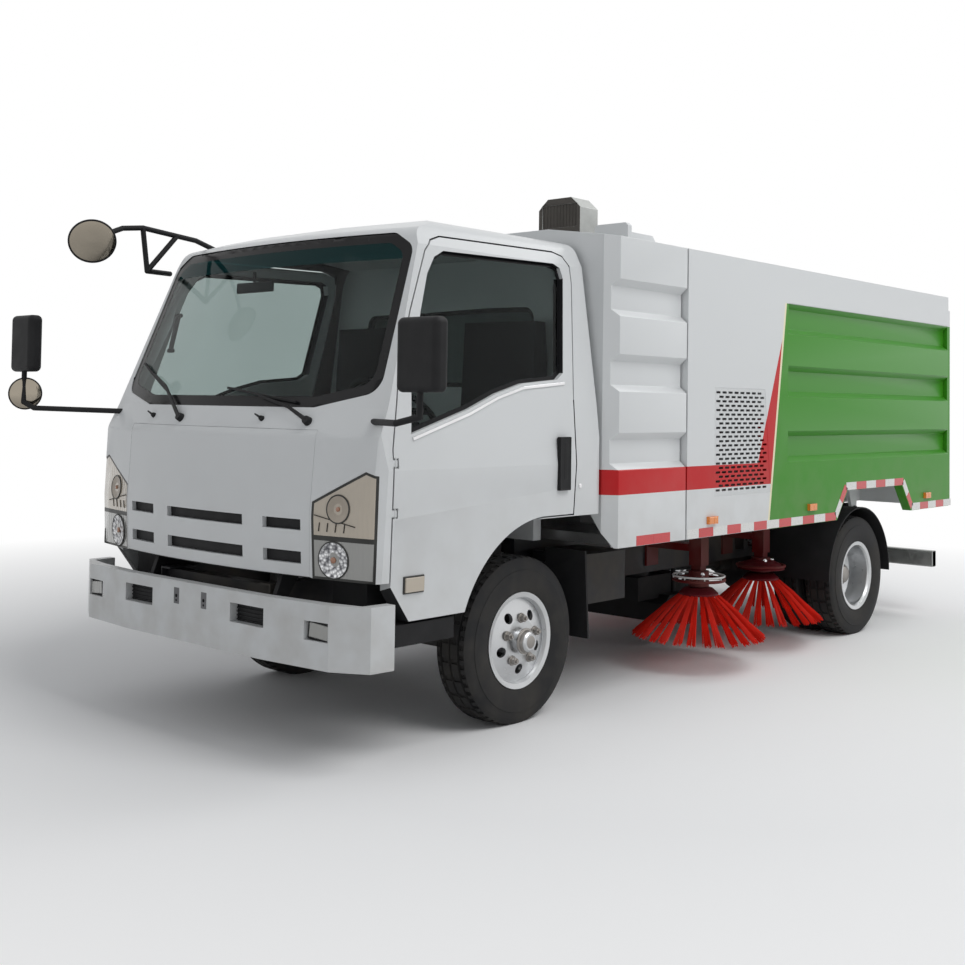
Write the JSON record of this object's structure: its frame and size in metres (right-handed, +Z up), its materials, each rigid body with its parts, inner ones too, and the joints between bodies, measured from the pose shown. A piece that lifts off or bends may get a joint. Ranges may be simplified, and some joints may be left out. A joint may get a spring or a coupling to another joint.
{
  "type": "street sweeper truck",
  "caption": "Forward-control street sweeper truck with tilt cab, tipping dirt hopper with a rear door, lifting side brushes and a suction nozzle.",
  "frame": {"origin": "on the ground, at the middle of the truck's length and width", "axes": "+X forward, +Y to the driver's left, +Z up"},
  "size_m": [6.074, 2.845, 2.5665],
  "materials": {
    "chassis_black": "satin",
    "axle_black": "satin",
    "body_white": "gloss",
    "body_green": "gloss",
    "bumper_white": "satin",
    "black_plastic": "matte",
    "tyre": "matte",
    "wheel_silver": "satin",
    "glass": "clear",
    "lamp_lens": "clear",
    "tail_red": "clear",
    "seat_fabric": "woven",
    "steel_bare": "machined",
    "brush_red": "satin",
    "bristle_red": "matte",
    "galvanised": "satin",
    "amber_lens": "clear",
    "vent_white": "satin"
  },
  "bodies": {
    "chassis": {"ladder_frame": "chassis_black", "front_axle": "axle_black", "rear_axle": "axle_black", "leaf_springs": "chassis_black", "engine": "steel_bare", "propshaft": "chassis_black", "fuel_tank": "galvanised", "battery_box": "chassis_black", "front_bumper": "bumper_white", "rear_mudguards": "black_plastic", "front_mudguards": "black_plastic", "underrun_bar": "galvanised", "tail_lamps": "tail_red", "front_module": "body_white", "aux_engine": "steel_bare", "roof_hood": "body_white", "suction_duct": "black_plastic", "brush_frames": "brush_red", "tip_brackets": "chassis_black"},
    "cab": {"cab_shell": "body_white", "front_panel": "body_white", "grille": "black_plastic", "headlamps": "lamp_lens", "windscreen": "glass", "rear_window": "glass", "seats": "seat_fabric", "dashboard": "black_plastic", "mirrors": "black_plastic", "wipers": "black_plastic"},
    "door_left": {"door_left": "body_white", "door_glass_left": "glass"},
    "door_right": {"door_right": "body_white", "door_glass_right": "glass"},
    "steering_wheel": {"steering_wheel": "black_plastic"},
    "knuckle_left": {"knuckle_left": "axle_black"},
    "knuckle_right": {"knuckle_right": "axle_black"},
    "track_rod": {"track_rod": "axle_black"},
    "wheel_front_left": {"tyre_front_left": "tyre", "rim_front_left": "wheel_silver"},
    "wheel_front_right": {"tyre_front_right": "tyre", "rim_front_right": "wheel_silver"},
    "wheels_rear_left": {"tyres_rear_left": "tyre", "rims_rear_left": "wheel_silver"},
    "wheels_rear_right": {"tyres_rear_right": "tyre", "rims_rear_right": "wheel_silver"},
    "hopper": {"hopper": "body_green", "vent_grilles": "vent_white", "side_lamps": "amber_lens"},
    "rear_door": {"rear_door": "body_green"},
    "tip_barrels": {"tip_barrels": "brush_red"},
    "tip_rods": {"tip_rods": "steel_bare"},
    "suction_nozzle": {"suction_nozzle": "black_plastic"},
    "head_front_left": {"brush_head_front_left": "brush_red"},
    "brush_front_left": {"brush_front_left": "bristle_red"},
    "head_front_right": {"brush_head_front_right": "brush_red"},
    "brush_front_right": {"brush_front_right": "bristle_red"},
    "head_rear_left": {"brush_head_rear_left": "brush_red"},
    "brush_rear_left": {"brush_rear_left": "bristle_red"},
    "head_rear_right": {"brush_head_rear_right": "brush_red"},
    "brush_rear_right": {"brush_rear_right": "bristle_red"}
  },
  "joints": [
    {"name": "cab_tilt", "type": "hinge", "parent": "chassis", "child": "cab", "pos_m": [2.759, 0, 0.62], "axis": [0, 1, 0], "range_deg": [0, 45]},
    {"name": "door_left_hinge", "type": "hinge", "parent": "cab", "child": "door_left", "pos_m": [2.604, 0.992, 1.2], "axis": [0, 0, -1], "range_deg": [0, 65]},
    {"name": "door_right_hinge", "type": "hinge", "parent": "cab", "child": "door_right", "pos_m": [2.604, -0.992, 1.2], "axis": [0, 0, 1], "range_deg": [0, 65]},
    {"name": "steering_wheel_turn", "type": "hinge", "parent": "cab", "child": "steering_wheel", "pos_m": [2.119, 0.48, 1.44], "axis": [-0.6049, 0, 0.7963], "range_deg": [-612, 612]},
    {"name": "steer_left", "type": "hinge", "parent": "chassis", "child": "knuckle_left", "pos_m": [1.629, 0.63, 0.381], "axis": [0, 0, 1], "range_deg": [-34, 34]},
    {"name": "steer_right", "type": "hinge", "parent": "chassis", "child": "knuckle_right", "pos_m": [1.629, -0.63, 0.381], "axis": [0, 0, 1], "range_deg": [-34, 34]},
    {"name": "track_rod_swing", "type": "hinge", "parent": "knuckle_left", "child": "track_rod", "pos_m": [1.459, 0.63, 0.313], "axis": [0, 0, 1], "range_deg": [-34, 34]},
    {"name": "wheel_front_left_spin", "type": "hinge", "parent": "knuckle_left", "child": "wheel_front_left", "pos_m": [1.629, 0.752, 0.381], "axis": [0, 1, 0], "continuous": true},
    {"name": "wheel_front_right_spin", "type": "hinge", "parent": "knuckle_right", "child": "wheel_front_right", "pos_m": [1.629, -0.752, 0.381], "axis": [0, 1, 0], "continuous": true},
    {"name": "wheels_rear_left_spin", "type": "hinge", "parent": "chassis", "child": "wheels_rear_left", "pos_m": [-1.731, 0.715, 0.381], "axis": [0, 1, 0], "continuous": true},
    {"name": "wheels_rear_right_spin", "type": "hinge", "parent": "chassis", "child": "wheels_rear_right", "pos_m": [-1.731, -0.715, 0.381], "axis": [0, 1, 0], "continuous": true},
    {"name": "hopper_tip", "type": "hinge", "parent": "chassis", "child": "hopper", "pos_m": [-2.641, 0, 0.745], "axis": [0, -1, 0], "range_deg": [0, 45]},
    {"name": "rear_door_lift", "type": "hinge", "parent": "hopper", "child": "rear_door", "pos_m": [-2.981, 0, 2.235], "axis": [0, 1, 0], "range_deg": [0, 80]},
    {"name": "tip_barrel_swing", "type": "hinge", "parent": "chassis", "child": "tip_barrels", "pos_m": [-1.521, 0, 0.5], "axis": [0, -1, 0], "range_deg": [0, 62]},
    {"name": "tip_rod_stroke", "type": "slide", "parent": "tip_barrels", "child": "tip_rods", "axis": [0.9415, 0, 0.337], "range_m": [0, 0.792]},
    {"name": "nozzle_lift", "type": "slide", "parent": "chassis", "child": "suction_nozzle", "axis": [0, 0, 1], "range_m": [-0.13, 0]},
    {"name": "head_front_left_lift", "type": "slide", "parent": "chassis", "child": "head_front_left", "axis": [0, 0, 1], "range_m": [-0.14, 0]},
    {"name": "brush_front_left_spin", "type": "hinge", "parent": "head_front_left", "child": "brush_front_left", "pos_m": [-0.091, 0.73, 0.424], "axis": [0, 0, 1], "continuous": true},
    {"name": "head_front_right_lift", "type": "slide", "parent": "chassis", "child": "head_front_right", "axis": [0, 0, 1], "range_m": [-0.14, 0]},
    {"name": "brush_front_right_spin", "type": "hinge", "parent": "head_front_right", "child": "brush_front_right", "pos_m": [-0.091, -0.73, 0.424], "axis": [0, 0, 1], "continuous": true},
    {"name": "head_rear_left_lift", "type": "slide", "parent": "chassis", "child": "head_rear_left", "axis": [0, 0, 1], "range_m": [-0.14, 0]},
    {"name": "brush_rear_left_spin", "type": "hinge", "parent": "head_rear_left", "child": "brush_rear_left", "pos_m": [-0.946, 0.65, 0.424], "axis": [0, 0, 1], "continuous": true},
    {"name": "head_rear_right_lift", "type": "slide", "parent": "chassis", "child": "head_rear_right", "axis": [0, 0, 1], "range_m": [-0.14, 0]},
    {"name": "brush_rear_right_spin", "type": "hinge", "parent": "head_rear_right", "child": "brush_rear_right", "pos_m": [-0.946, -0.65, 0.424], "axis": [0, 0, 1], "continuous": true}
  ],
  "couplings": [
    {"joint": "steer_right", "follows": "steer_left", "ratio": 1},
    {"joint": "track_rod_swing", "follows": "steer_left", "ratio": -1},
    {"joint": "steering_wheel_turn", "follows": "steer_left", "ratio": 18},
    {"joint": "tip_barrel_swing", "follows": "hopper_tip", "ratio": 1.3657},
    {"joint": "tip_rod_stroke", "follows": "hopper_tip", "m_per_rad": 1.0037}
  ]
}
